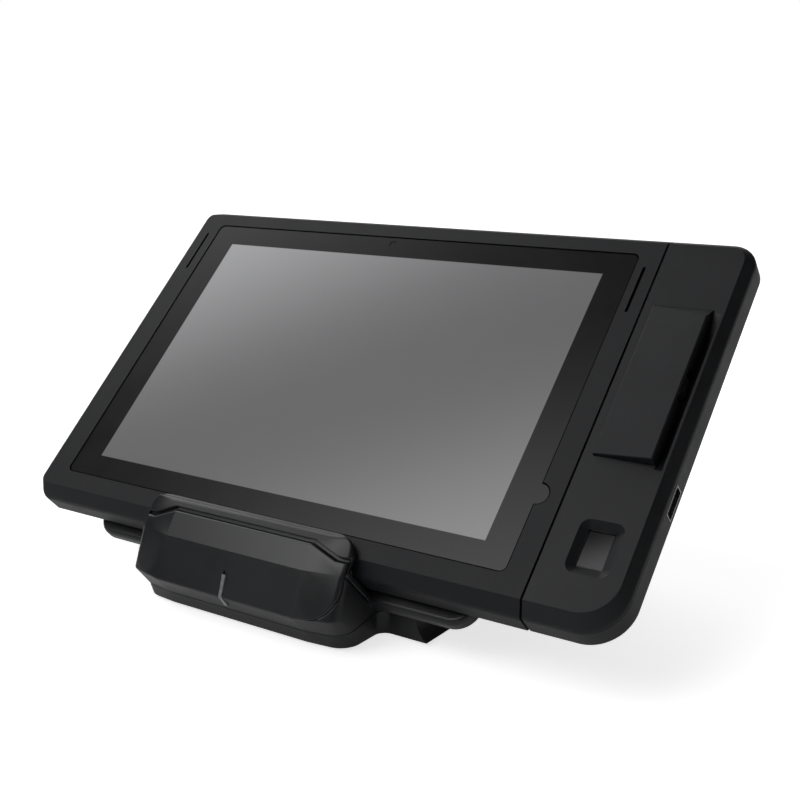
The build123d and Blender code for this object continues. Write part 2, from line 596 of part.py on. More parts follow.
with BuildPart() as stand_form:
    with BuildSketch(Plane.YZ.offset(-WING_HALF)):
        with BuildLine():
            top_front = on_table(CRADLE_TOP, CRADLE_BACK_Z - SEAM)
            top_rear = on_table(CRADLE_TOP, -47.0)
            Polyline((BASE_REAR, 42), (BASE_REAR, FOOT_HEIGHT), (WING_Y, FOOT_HEIGHT),
                     (WING_Y, 18.2), top_front, top_rear)
            ThreePointArc(top_rear, (74.0, 68.0), (BASE_REAR, 42))
        make_face()
    extrude(amount=2 * WING_HALF)
    with BuildSketch(Plane.XZ.offset(-BASE_REAR - 1)) as stand_front:
        with BuildLine():
            Line((0, FOOT_HEIGHT), (WING_HALF, FOOT_HEIGHT))
            ThreePointArc((WING_HALF, FOOT_HEIGHT), (76.4, 6.4), (74.5, STAND_TOP_Z))
            Line((74.5, STAND_TOP_Z), (74.5, 46))
            ThreePointArc((74.5, 46), (70.0, 84), (50, 112))
            Line((50, 112), (0, 112))
            mirror(about=Plane.YZ)
        make_face()
    extrude(amount=BASE_REAR + 60, mode=Mode.INTERSECT)
    # the rear corners are round as seen from above
    with BuildSketch(Plane.XY) as stand_plan:
        with Locations((0, (WING_Y + BASE_REAR) / 2)):
            Rectangle(2 * WING_HALF, BASE_REAR - WING_Y)
        fillet(stand_plan.vertices().group_by(Axis.Y)[-1], 16.0)
    extrude(amount=130, mode=Mode.INTERSECT)

with BuildPart() as dock_form:
    add(block_form.part)
    add(stand_form.part)
    # concave corners where the front block meets the base
    with BuildSketch(Plane.XY.offset(FOOT_HEIGHT)):
        for direction in (-1, 1):
            with Locations((direction * (BUMP_HALF + NECK_R / 2 - 0.25), WING_Y - NECK_R / 2 + 0.25)):
                Rectangle(NECK_R + 0.5, NECK_R + 0.5)
            with Locations((direction * (BUMP_HALF + NECK_R), WING_Y - NECK_R)):
                Circle(NECK_R, mode=Mode.SUBTRACT)
    extrude(amount=12)
    block((-70, 70), (HOOK_Y - SEAM, 0), (CRADLE_BACK_Z - SEAM, 30), mode=Mode.SUBTRACT)

with BuildPart() as stand_cavity:
    with BuildSketch(Plane.YZ.offset(-70)):
        with BuildLine():
            Polyline(
                (WING_Y + SHELL, FOOT_HEIGHT + 3),
                (BASE_REAR - SHELL, FOOT_HEIGHT + 3),
                (BASE_REAR - SHELL, 42),
                on_table(CRADLE_TOP - SHELL, -44.0),
                on_table(CRADLE_TOP - SHELL, CRADLE_BACK_Z - SEAM - SHELL),
                (WING_Y + SHELL, 15.5),
                close=True,
            )
        make_face()
    extrude(amount=140)
    with BuildSketch(Plane.XZ.offset(-BASE_REAR - 1)):
        with BuildLine():
            Polyline((0, 0), (71, 0), (71, 46), (64, 84), (47, 112), (0, 112))
            mirror(about=Plane.YZ)
        make_face()
    extrude(amount=BASE_REAR + 60, mode=Mode.INTERSECT)
    # hollow of the front block: further back at its two ends, where the front lies back
    for half, back in ((KNEE_X + 4, 0.0), (BUMP_HALF - SHELL, 4.6)):
        with BuildSketch(Plane.YZ.offset(-half)):
            with BuildLine():
                Polyline(
                    (-70.0 + back, FOOT_HEIGHT + 3),
                    (-72.9 + back, 8.6),
                    (-79.6 + back, 16.6),
                    (-73.6 + back, 30.0),
                    on_table(HOOK_Y - SHELL - 0.3, 2.0 - back),
                    on_table(HOOK_Y - SHELL - 0.3, -20.0),
                    (-43, 16.5),
                    (-43, FOOT_HEIGHT + 3),
                    close=True,
                )
            make_face()
        extrude(amount=2 * half)

with BuildPart() as base_zone:
    with BuildSketch(Plane.YZ.offset(-100)):
        with BuildLine():
            Polyline((-95, 4.3), BLOCK_SEAM, (WING_Y, 12.2), (90, 12.2), (90, -5), (-95, -5), close=True)
        make_face()
    extrude(amount=200)

# ---------------------------------------------------------------- dock: casing
with BuildPart() as cover_backing:
    for (below, *below_shape), (above, *above_shape) in zip(BLOCK_STACK, BLOCK_STACK[1:]):
        low = block_plan((below[0] + COVER_T, below[1]), *below_shape)
        high = block_plan((above[0] + COVER_T, above[1]), *above_shape)
        loft([low, high], ruled=True)


def cover_outline(margin, groove):
    """Front view of the cover, with a stepped top edge, grown by margin all round and by groove on top."""
    half = BUMP_HALF - 1.0 + margin
    with BuildSketch(Plane.XZ.offset(40)) as outline:
        with BuildLine():
            top = Polyline(
                (0, 43.4 + groove),
                (38.5 + groove / 2, 43.4 + groove),
                (51.0 + groove / 2, 38.7 + groove),
                (half, 38.3 + groove),
            )
            Line(top @ 1, (half, 29))
            RadiusArc((half, 29), (half - 12, 16.0), 12.6)
            Line((half - 12, 16.0), (0, 16.0))
            mirror(about=Plane.YZ)
        make_face()
    return outline.sketch


GROOVE = 1.5                                # open groove above the cover's stepped edge
with BuildPart() as cover_pocket:
    extrude(cover_outline(SEAM, GROOVE), amount=60, dir=(0, -1, 0))
    add(cover_backing.part, mode=Mode.SUBTRACT)

with BuildPart() as guide_slot:
    with BuildSketch(Plane.YZ.offset(-1.1)):
        with BuildLine():
            Polyline(
                (-79.3, 26.6),
                (-80.9, 16.7),
                (-79.0, 11.9),
                (-81.6, 9.6),
                (-88, 16),
                (-83, 27.6),
                close=True,
            )
        make_face()
    extrude(amount=2.2)

with BuildPart() as front_cover:
    extrude(cover_outline(0, 0), amount=60, dir=(0, -1, 0))
    add(block_form.part, mode=Mode.INTERSECT)
    add(cover_backing.part, mode=Mode.SUBTRACT)
    add(guide_slot.part, mode=Mode.SUBTRACT)
front_cover.part.label = "front_cover"
export_step(front_cover.part, "parts/front_cover.step")

PLUG_X, PLUG_Z = 20.0, 1.9                  # half width and half height of the docking plug
IO_X, IO_LOW, IO_HIGH = 50.0, 13.4, 33.0    # rear connector window
BASE_SCREWS = [(x, y) for x in (-67.5, 67.5) for y in (-14, 44)]

with BuildPart() as dock_shell:
    add(dock_form.part)
    add(base_zone.part, mode=Mode.SUBTRACT)
    add(stand_cavity.part, mode=Mode.SUBTRACT)
    add(cover_pocket.part, mode=Mode.SUBTRACT)
    add(guide_slot.part, mode=Mode.SUBTRACT)
    block((-PLUG_X - 4, PLUG_X + 4), (HOOK_Y - 6, HOOK_Y + 1), (PORT_Z - 5, PORT_Z + 5), mode=Mode.SUBTRACT)
    block((-12, 12), (-52, -8), (CRADLE_BACK_Z - 6, CRADLE_BACK_Z), mode=Mode.SUBTRACT)
    block((-14.5, 14.5), (CRADLE_TOP - 6, CRADLE_TOP + 1), (-42.5, -31.5), mode=Mode.SUBTRACT)
    upright((-IO_X, IO_X), (BASE_REAR - 6, BASE_REAR + 1), (IO_LOW, IO_HIGH), mode=Mode.SUBTRACT)
    for x, y in BASE_SCREWS:
        with Locations((x, y, 22)):
            Cylinder(4.5, 19)
        with Locations((x, y, 16)):
            Cylinder(1.5, 12, mode=Mode.SUBTRACT)
dock_shell.part.label = "dock_shell"
export_step(dock_shell.part, "parts/dock_shell.step")

VESA = 75.0
VESA_HOLE_R = 2.15
with BuildPart() as dock_base:
    add(dock_form.part)
    add(base_zone.part, mode=Mode.INTERSECT)
    add(stand_cavity.part, mode=Mode.SUBTRACT)
    with Locations((0, 0, FOOT_HEIGHT + 3)):
        with GridLocations(VESA, VESA, 2, 2):
            Cylinder(5.5, 5.0, align=(Align.CENTER, Align.CENTER, Align.MIN))
    with Locations((0, 0, 0)):
        with GridLocations(VESA, VESA, 2, 2):
            Cylinder(VESA_HOLE_R, 30, mode=Mode.SUBTRACT)
    with Locations([(x, y, FOOT_HEIGHT) for x, y in BASE_SCREWS]):
        Cylinder(3.2, 4.3, align=(Align.CENTER, Align.CENTER, Align.MIN), mode=Mode.SUBTRACT)
        Cylinder(1.7, 30, mode=Mode.SUBTRACT)
dock_base.part.label = "dock_base"
export_step(dock_base.part, "parts/dock_base.step")

with BuildPart() as light_guide:
    with BuildSketch(Plane.YZ.offset(-0.9)):
        with BuildLine():
            Polyline(
                (-80.0, 25.0),
                (-82.7, 16.6),
                (-79.6, 12.0),
                (-80.6, 11.0),
                (-84.5, 16.4),
                (-81.5, 25.6),
                close=True,
            )
        make_face()
    extrude(amount=1.8)
light_guide.part.label = "light_guide"
export_step(light_guide.part, "parts/light_guide.step")

with BuildPart() as led_board:
    upright((-14, 14), (-74.5, -73.0), (11, 25))
    upright((-2, 2), (-76.5, -74.5), (14, 18))
led_board.part.label = "led_board"
export_step(led_board.part, "parts/led_board.step")

# ---------------------------------------------------------------- cradle that holds the tablet
with BuildPart() as hook_form:
    add(block_form.part)
    block((-60, 60), (HOOK_Y, 0), (CRADLE_BACK_Z, 30), mode=Mode.INTERSECT)
    add(cover_pocket.part, mode=Mode.SUBTRACT)

with BuildPart() as cradle:
    with BuildSketch(level(CRADLE_BACK_Z)) as cradle_plan:
        with Locations((0, (CRADLE_BOTTOM + CRADLE_TOP) / 2)):
            Rectangle(2 * CRADLE_HALF, CRADLE_TOP - CRADLE_BOTTOM)
        fillet(cradle_plan.vertices(), 11.0)
    extrude(amount=CRADLE_FRONT_Z - CRADLE_BACK_Z)
    fillet(cradle.faces().sort_by(OUTWARD)[-1].edges(), 2.4)
    fillet(cradle.faces().sort_by(OUTWARD)[0].edges(), 2.4)
    # room for the front block, which is closed above by the hook
    block((-BUMP_HALF, BUMP_HALF), (CRADLE_BOTTOM - 1, HOOK_Y), (CRADLE_BACK_Z - 1, 0), mode=Mode.SUBTRACT)
    add(hook_form.part)
    # way through for the docking plug and for the catch
    block((-PLUG_X - 0.5, PLUG_X + 0.5), (HOOK_Y - 1, WELL_Y + 1),
          (PORT_Z - PLUG_Z - 0.5, PORT_Z + PLUG_Z + 0.5), mode=Mode.SUBTRACT)
    block((-6.5, 6.5), (-48.5, -34.5), (CRADLE_BACK_Z - 1, CRADLE_FRONT_Z + 1), mode=Mode.SUBTRACT)
cradle.part.label = "cradle"
export_step(cradle.part, "parts/cradle.step")

with BuildPart() as cradle_pads:
    with BuildSketch(level(CRADLE_FRONT_Z)):
        with Locations((0, -26)):
            with GridLocations(160, 96, 2, 2):
                SlotOverall(34, 12)
    extrude(amount=0.5)
cradle_pads.part.label = "cradle_pads"
export_step(cradle_pads.part, "parts/cradle_pads.step")

with BuildPart() as guide_posts:
    with BuildSketch(lower(WELL_Y)):
        with Locations((-POST_X, PORT_Z), (POST_X, PORT_Z)):
            Circle(POST_R)
    extrude(amount=-6.5)
    tips = guide_posts.faces().sort_by(UPWARD)[-2:]
    chamfer(tips.edges(), 1.0)
guide_posts.part.label = "guide_posts"
export_step(guide_posts.part, "parts/guide_posts.step")

# floating plug that meets the tablet's lower edge, and its row of contacts
with BuildPart() as dock_plug:
    block((-PLUG_X, PLUG_X), (-103.0, -94.0), (PORT_Z - PLUG_Z, PORT_Z + PLUG_Z))
    fillet(dock_plug.faces().sort_by(UPWARD)[-1].edges(), 0.5)
    block((-PLUG_X - 2, PLUG_X + 2), (-100.0, -98.4), (PORT_Z - PLUG_Z - 1.5, PORT_Z + PLUG_Z + 1.5))
dock_plug.part.label = "dock_plug"
export_step(dock_plug.part, "parts/dock_plug.step")

with BuildPart() as contact_pins:
    with BuildSketch(lower(-94.0)):
        with Locations((0, PORT_Z)):
            with GridLocations(3.4, 0, 11, 1):
                Circle(0.75)
    extrude(amount=-1.8)
contact_pins.part.label = "contact_pins"
export_step(contact_pins.part, "parts/contact_pins.step")

# ---------------------------------------------------------------- release button and catch
PIVOT_Y, PIVOT_Z, PIVOT_R = -24.0, -36.0, 2.0
with BuildPart() as catch_pin:
    with BuildSketch(side(-12)):
        with Locations((PIVOT_Y, PIVOT_Z)):
            Circle(PIVOT_R)
    extrude(amount=24)
catch_pin.part.label = "catch_pin"
export_step(catch_pin.part, "parts/catch_pin.step")

with BuildPart() as catch_lever:
    with BuildSketch(side(-5)):
        with BuildLine():
            Polyline(
                (-44.5, -40),
                (-12, -40),
                (-12, -33),
                (-37.5, -33),
                (-37.5, -18.4),
                (-39.0, -16.9),
                (-42.5, -16.9),
                (-44.5, -19.5),
                close=True,
            )
        make_face()
        with Locations((PIVOT_Y, PIVOT_Z)):
            Circle(PIVOT_R + 0.05, mode=Mode.SUBTRACT)
    extrude(amount=10)
catch_lever.part.label = "catch_lever"
export_step(catch_lever.part, "parts/catch_lever.step")

with BuildPart() as catch_bracket:
    for x in (-11.5, 9.5):
        with BuildSketch(side(x)) as cheek:
            with BuildLine():
                Polyline((-32, CRADLE_BACK_Z), (-16, CRADLE_BACK_Z), (-20, -40), (-28, -40), close=True)
            make_face()
            with Locations((PIVOT_Y, PIVOT_Z)):
                Circle(PIVOT_R + 0.02, mode=Mode.SUBTRACT)
        extrude(amount=2)
catch_bracket.part.label = "catch_bracket"
export_step(catch_bracket.part, "parts/catch_bracket.step")

SPRING_X, SPRING_LENGTH = 5.8, 3.0
with BuildPart() as catch_spring:
    pivot = side(SPRING_X).from_local_coords(Vector(PIVOT_Y, PIVOT_Z, 0))
    with BuildLine():
        coil = Helix(pitch=0.8, height=SPRING_LENGTH, radius=2.75, center=pivot, direction=(1, 0, 0))
    with BuildSketch(Plane(origin=coil @ 0, z_dir=coil % 0)):
        Circle(0.25)
    sweep(path=coil)
catch_spring.part.label = "catch_spring"
export_step(catch_spring.part, "parts/catch_spring.step")

with BuildPart() as release_button:
    block((-13.5, 13.5), (34.5, 44.0), (-41.5, -32.5))
    fillet(release_button.faces().sort_by(UPWARD)[-1].edges(), 1.4)
    block((-15.5, 15.5), (31.5, 34.5), (-43.0, -31.0))
    block((-3, 3), (-4, 31.5), (-39.5, -34.5))
release_button.part.label = "release_button"
export_step(release_button.part, "parts/release_button.step")

# ---------------------------------------------------------------- base fittings
FEET = [(x, y) for x in (-62, 62) for y in (-33, 62)]
with BuildPart() as rubber_feet:
    with Locations([(x, y, 0) for x, y in FEET]):
        Cylinder(7.5, FOOT_HEIGHT, align=(Align.CENTER, Align.CENTER, Align.MIN))
    chamfer(rubber_feet.faces().filter_by(Axis.Z).group_by(Axis.Z)[0].edges(), 0.4)
rubber_feet.part.label = "rubber_feet"
export_step(rubber_feet.part, "parts/rubber_feet.step")

with BuildPart() as centre_pad:
    with BuildSketch():
        RectangleRounded(60, 60, 6)
    extrude(amount=FOOT_HEIGHT)
centre_pad.part.label = "centre_pad"
export_step(centre_pad.part, "parts/centre_pad.step")

with BuildPart() as ballast_plate:
    upright((-58, 58), (-29, 29), (FOOT_HEIGHT + 3, FOOT_HEIGHT + 9))
    fillet(ballast_plate.edges().filter_by(Axis.Z), 5)
    with Locations([(x, y, 6) for x, y in BASE_SCREWS]):
        Cylinder(6, 30, mode=Mode.SUBTRACT)
ballast_plate.part.label = "ballast_plate"
export_step(ballast_plate.part, "parts/ballast_plate.step")

with BuildPart() as base_screws:
    with Locations([(x, y, FOOT_HEIGHT + 2.0) for x, y in BASE_SCREWS]):
        Cylinder(3.0, 2.2, align=(Align.CENTER, Align.CENTER, Align.MIN))
        Cylinder(1.45, 15, align=(Align.CENTER, Align.CENTER, Align.MIN))
    with BuildSketch(Plane.XY.offset(FOOT_HEIGHT + 2.0)):
        with Locations(BASE_SCREWS):
            RegularPolygon(1.6, 6)
    extrude(amount=1.2, mode=Mode.SUBTRACT)
base_screws.part.label = "base_screws"
export_step(base_screws.part, "parts/base_screws.step")

BOARD_TOP = 14.2
with BuildPart() as dock_board:
    upright((-54, 54), (40, 72.8), (BOARD_TOP - 1.4, BOARD_TOP))
    for x in (-20, 0, 20):
        upright((x - 4, x + 4), (44, 52), (BOARD_TOP, BOARD_TOP + 2))
dock_board.part.label = "dock_board"
export_step(dock_board.part, "parts/dock_board.step")

# sockets stand on the board and reach the panel; each has its own opening in it
SOCKET_REAR = BASE_REAR - 0.4
LAN = (-32.0, 16.0, 13.6)                    # x, width, height
USB = ((-8.0, 12.0), 13.4, 6.6)
POWER = (34.0, 10.0, 11.0)


def socket(x, width, height, depth, mode=Mode.ADD):
    """Socket body standing on the board behind the rear panel."""
    upright((x - width / 2, x + width / 2), (SOCKET_REAR - depth, SOCKET_REAR),
            (BOARD_TOP, BOARD_TOP + height), mode)


with BuildPart() as io_panel:
    upright((-IO_X + 0.2, IO_X - 0.2), (BASE_REAR - 2.4, BASE_REAR - 0.8), (IO_LOW + 0.2, IO_HIGH - 0.2))
    socket(LAN[0], LAN[1] + 0.5, LAN[2] + 0.3, 18, Mode.SUBTRACT)
    for x in USB[0]:
        socket(x, USB[1] + 0.5, USB[2] + 0.3, 18, Mode.SUBTRACT)
    socket(POWER[0], POWER[1] + 0.5, POWER[2] + 0.3, 18, Mode.SUBTRACT)
io_panel.part.label = "io_panel"
export_step(io_panel.part, "parts/io_panel.step")

with BuildPart() as network_socket:
    socket(LAN[0], LAN[1], LAN[2], 18)
    upright((LAN[0] - 6, LAN[0] + 6), (SOCKET_REAR - 14, BASE_REAR + 1), (BOARD_TOP + 2.4, BOARD_TOP + 10.0),
            mode=Mode.SUBTRACT)
    upright((LAN[0] - 2.6, LAN[0] + 2.6), (SOCKET_REAR - 14, BASE_REAR + 1),
            (BOARD_TOP + 10.0, BOARD_TOP + 12.4), mode=Mode.SUBTRACT)
network_socket.part.label = "network_socket"
export_step(network_socket.part, "parts/network_socket.step")

with BuildPart() as usb_sockets:
    for x in USB[0]:
        socket(x, USB[1], USB[2], 14)
        upright((x - 6.2, x + 6.2), (SOCKET_REAR - 11, BASE_REAR + 1), (BOARD_TOP + 0.7, BOARD_TOP + 5.9),
                mode=Mode.SUBTRACT)
        upright((x - 5.6, x + 5.6), (SOCKET_REAR - 11, SOCKET_REAR - 1), (BOARD_TOP + 3.5, BOARD_TOP + 5.3))
usb_sockets.part.label = "usb_sockets"
export_step(usb_sockets.part, "parts/usb_sockets.step")

with BuildPart() as power_socket:
    socket(POWER[0], POWER[1], POWER[2], 14)
    with BuildSketch(Plane.XZ.offset(-SOCKET_REAR - 0.1)):
        with Locations((POWER[0], BOARD_TOP + 6)):
            Circle(3.2)
    extrude(amount=10, mode=Mode.SUBTRACT)
    with BuildSketch(Plane.XZ.offset(-SOCKET_REAR + 1)):
        with Locations((POWER[0], BOARD_TOP + 6)):
            Circle(1.05)
    extrude(amount=9.5)
power_socket.part.label = "power_socket"
export_step(power_socket.part, "parts/power_socket.step")
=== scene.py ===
"""Looks of the self checkout terminal: a tablet in a countertop dock, with a reader module at its side.

Lengths are in metres. Two frames are used: the row's own, and the tilted frame of the screen, whose
origin is the display's centre, with x to the right, y up along the screen and z out of the glass.
"""

import json
import math

import bmesh
import bpy
from mathutils import Matrix, Vector
from mathutils.bvhtree import BVHTree

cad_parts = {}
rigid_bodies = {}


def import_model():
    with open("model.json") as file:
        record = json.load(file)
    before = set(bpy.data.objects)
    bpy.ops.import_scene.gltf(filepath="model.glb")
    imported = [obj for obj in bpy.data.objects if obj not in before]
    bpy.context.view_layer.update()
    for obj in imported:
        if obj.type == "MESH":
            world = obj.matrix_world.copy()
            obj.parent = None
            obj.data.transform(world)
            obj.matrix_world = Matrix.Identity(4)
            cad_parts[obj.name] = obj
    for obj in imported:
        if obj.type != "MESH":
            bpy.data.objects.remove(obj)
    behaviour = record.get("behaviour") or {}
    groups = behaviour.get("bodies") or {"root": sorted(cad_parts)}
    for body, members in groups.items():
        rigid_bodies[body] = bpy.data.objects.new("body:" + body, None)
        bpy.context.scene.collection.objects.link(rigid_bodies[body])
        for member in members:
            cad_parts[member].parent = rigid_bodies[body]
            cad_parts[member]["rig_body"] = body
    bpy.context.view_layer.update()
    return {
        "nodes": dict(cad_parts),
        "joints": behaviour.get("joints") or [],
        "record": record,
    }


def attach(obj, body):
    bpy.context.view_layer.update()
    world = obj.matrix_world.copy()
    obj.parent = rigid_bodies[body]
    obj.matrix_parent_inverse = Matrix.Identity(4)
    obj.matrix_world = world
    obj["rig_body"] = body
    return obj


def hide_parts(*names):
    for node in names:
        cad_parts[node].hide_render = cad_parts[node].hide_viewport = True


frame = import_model()
NODES = frame["nodes"]
SLOT_OF = {part["node"]: part["material_slot"] for part in frame["record"]["subparts"]}
MM = 0.001

# ---------------------------------------------------------------- the screen's frame, read from the CAD model
UP = Vector(next(j for j in frame["joints"] if j["name"] == "tablet_lift_off")["axis"]).normalized()
OUT = Vector((0.0, -UP.z, UP.y))
GLASS_OFF_CENTRE = 0.4 * MM                 # the display's centre is this much below the glass's


def screen_span(name):
    """Lowest and highest (x, y, z) of a CAD node in the screen's directions, from the row's origin."""
    points = [(v.co.x, v.co.dot(UP), v.co.dot(OUT)) for v in NODES[name].data.vertices]
    return Vector(map(min, zip(*points))), Vector(map(max, zip(*points)))


GLASS_LOW, GLASS_HIGH = screen_span("touch_glass")
CENTRE = UP * ((GLASS_LOW.y + GLASS_HIGH.y) / 2 - GLASS_OFF_CENTRE) + OUT * GLASS_HIGH.z
SCREEN = Matrix((
    (1, UP.x, OUT.x, CENTRE.x),
    (0, UP.y, OUT.y, CENTRE.y),
    (0, UP.z, OUT.z, CENTRE.z),
    (0, 0, 0, 1),
))


def middle_on_screen(name):
    """Middle of a CAD node in the screen's x and y, from the display's centre."""
    low, high = screen_span(name)
    return (low.x + high.x) / 2, (low.y + high.y) / 2 - CENTRE.dot(UP)


# ---------------------------------------------------------------- node helpers
WHITE = (1.0, 1.0, 1.0, 1.0)


class Tree:
    """A node tree. Inputs are given by name or number, as values or as other nodes' outputs."""

    def __init__(self, owner):
        owner.use_nodes = True
        self.nodes = owner.node_tree.nodes
        self.links = owner.node_tree.links

    def add(self, kind, inputs=None, **settings):
        node = self.nodes.new(kind)
        for key, value in settings.items():
            setattr(node, key, value)
        self.feed(node, inputs or {})
        return node

    def feed(self, node, inputs):
        for key, value in inputs.items():
            if isinstance(value, bpy.types.NodeSocket):
                self.links.new(value, node.inputs[key])
            else:
                node.inputs[key].default_value = value

    def place(self):
        return self.add("ShaderNodeTexCoord").outputs["Object"]

    def noise(self, scale, detail=3.0, roughness=0.55, vector=None):
        inputs = {"Vector": vector or self.place(), "Scale": scale, "Detail": detail, "Roughness": roughness}
        return self.add("ShaderNodeTexNoise", inputs).outputs["Fac"]

    def cells(self, scale, randomness=1.0):
        inputs = {"Vector": self.place(), "Scale": scale, "Randomness": randomness}
        return self.add("ShaderNodeTexVoronoi", inputs).outputs["Distance"]

    def span(self, value, low, high, to_low, to_high, smooth=False):
        """Takes low..high to to_low..to_high."""
        inputs = {"Value": value, "From Min": low, "From Max": high, "To Min": to_low, "To Max": to_high}
        kind = "SMOOTHSTEP" if smooth else "LINEAR"
        return self.add("ShaderNodeMapRange", inputs, interpolation_type=kind).outputs["Result"]

    def spread(self, noise, to_low, to_high):
        """Takes the range that a noise mostly keeps to, 0.3 to 0.7, to to_low..to_high."""
        return self.span(noise, 0.3, 0.7, to_low, to_high)

    def math(self, operation, *values):
        return self.add("ShaderNodeMath", dict(enumerate(values)), operation=operation).outputs[0]

    def dot(self, vector, axis):
        node = self.add("ShaderNodeVectorMath", {0: vector, 1: axis}, operation="DOT_PRODUCT")
        return node.outputs["Value"]

    def mix(self, factor, a, b):
        return self.add("ShaderNodeMix", {0: factor, 6: a, 7: b}, data_type="RGBA").outputs[2]

    def bump(self, height, depth):
        return self.add("ShaderNodeBump", {"Height": height, "Distance": depth}).outputs["Normal"]

    def by_viewer(self, cast, seen):
        """One value for the light that falls on the object, and another for what is seen directly."""
        is_seen = self.add("ShaderNodeLightPath").outputs["Is Camera Ray"]
        return self.add("ShaderNodeMix", {0: is_seen, 2: cast, 3: seen}, data_type="FLOAT").outputs[0]


class Finish(Tree):
    """One material and its nodes."""

    def __init__(self, name):
        self.material = bpy.data.materials.new(name)
        super().__init__(self.material)
        self.shader = self.nodes["Principled BSDF"]

    def set(self, **inputs):
        """Feeds the shader; underscores stand for the blanks in its sockets' names."""
        self.feed(self.shader, {key.replace("_", " "): value for key, value in inputs.items()})

    def screen_place(self):
        """Coordinates in the screen's frame: x, y and z outputs."""
        from_centre = self.add("ShaderNodeVectorMath", {0: self.place(), 1: CENTRE}, operation="SUBTRACT")
        return [self.dot(from_centre.outputs[0], axis) for axis in ((1.0, 0.0, 0.0), UP, OUT)]

    def edge(self, radius):
        """1 where the surface turns within this radius, at an edge that is painted lighter, partly as wear
        and partly as a painted highlight, and 0 on flat ground.
        """
        rounded = self.add("ShaderNodeBevel", {"Radius": radius}, samples=4).outputs["Normal"]
        flat = self.add("ShaderNodeNewGeometry").outputs["Normal"]
        return self.span(self.dot(rounded, flat), 0.86, 0.995, 1.0, 0.0)


def rgba(colour, factor=1.0):
    return tuple(c * factor for c in colour) + (1.0,)


# ---------------------------------------------------------------- materials
GRAIN, GRAIN_DEPTH = 0.32 * MM, 0.03 * MM   # of plain moulded plastic
PATCH_SCALE, RUB_AND_HIGHLIGHT_SCALE = 38.0, 420.0        # noise scales of its uneven gloss and of its lighter edges, partly wear and partly painted highlight
WEAR_AND_HIGHLIGHT, WEAR_AND_HIGHLIGHT_WIDTH = 0.35, 0.5 * MM           # how much of the lighter edge colour shows, partly wear and partly painted highlight, and how far from an edge
WEAR_POLISH = 0.18                          # how much less rough a fully worn edge is


def moulded(name, colour, rough, grain=GRAIN, depth=GRAIN_DEPTH, gloss=0.42, patchy=0.05):
    """Injection moulded plastic with a spark-eroded grain, uneven gloss and slightly polished edges, painted
    lighter, partly as wear and partly as a painted highlight.
    """
    t = Finish(name)
    fine = t.noise(1 / grain, detail=2.0)
    pits = t.cells(0.6 / grain)
    broad = t.noise(PATCH_SCALE, detail=4.0)
    tone = t.math("ADD", t.spread(broad, -0.10, 0.10), t.spread(fine, -0.16, 0.16))
    ground = t.mix(t.span(tone, -0.26, 0.26, 0.0, 1.0), rgba(colour, 0.72), rgba(colour, 1.3))
    rubbed_and_highlit = t.span(t.noise(RUB_AND_HIGHLIGHT_SCALE), 0.35, 0.65, 0.25 * WEAR_AND_HIGHLIGHT, WEAR_AND_HIGHLIGHT)
    worn_and_highlit = t.math("MULTIPLY", t.edge(WEAR_AND_HIGHLIGHT_WIDTH), rubbed_and_highlit)
    # lighter edge colour: partly wear, partly painted highlight
    t.set(Base_Color=t.mix(worn_and_highlit, ground, rgba(colour, 2.4)))
    dull = t.math("ADD", t.spread(broad, rough - patchy, rough + patchy), t.spread(fine, -0.06, 0.06))
    t.set(Roughness=t.math("SUBTRACT", dull, t.math("MULTIPLY", worn_and_highlit, WEAR_POLISH)))
    height = t.math("ADD", fine, t.math("MULTIPLY", pits, 0.55))
    t.set(Normal=t.bump(height, depth), Specular_IOR_Level=gloss)
    return t.material


WINDOW_HALF_WIDTH, WINDOW_HALF_HEIGHT = 108.5 * MM, 67.8 * MM
WINDOW_BLUR = 0.12 * MM                     # softness of the border's printed edge
FACE_FROM, FACE_FULL = -0.4 * MM, -0.3 * MM  # only the glass's face shows the display, not its sides
ROWS_SCALE, ROWS_DARK = 1600.0, 0.035       # the panel's faint rows
PAINTED_REFLECTION_GREYS = (                                   # painted reflection gradient on the display: place on the way from lower right to upper left, and level
    (0.0, 0.26),
    (0.25, 0.13),
    (0.5, 0.125),
    (0.72, 0.20),
    (1.0, 0.42),
)
BORDER_DARK, BORDER_PALE = (0.0022, 0.0022, 0.0024), (0.003, 0.003, 0.0032)


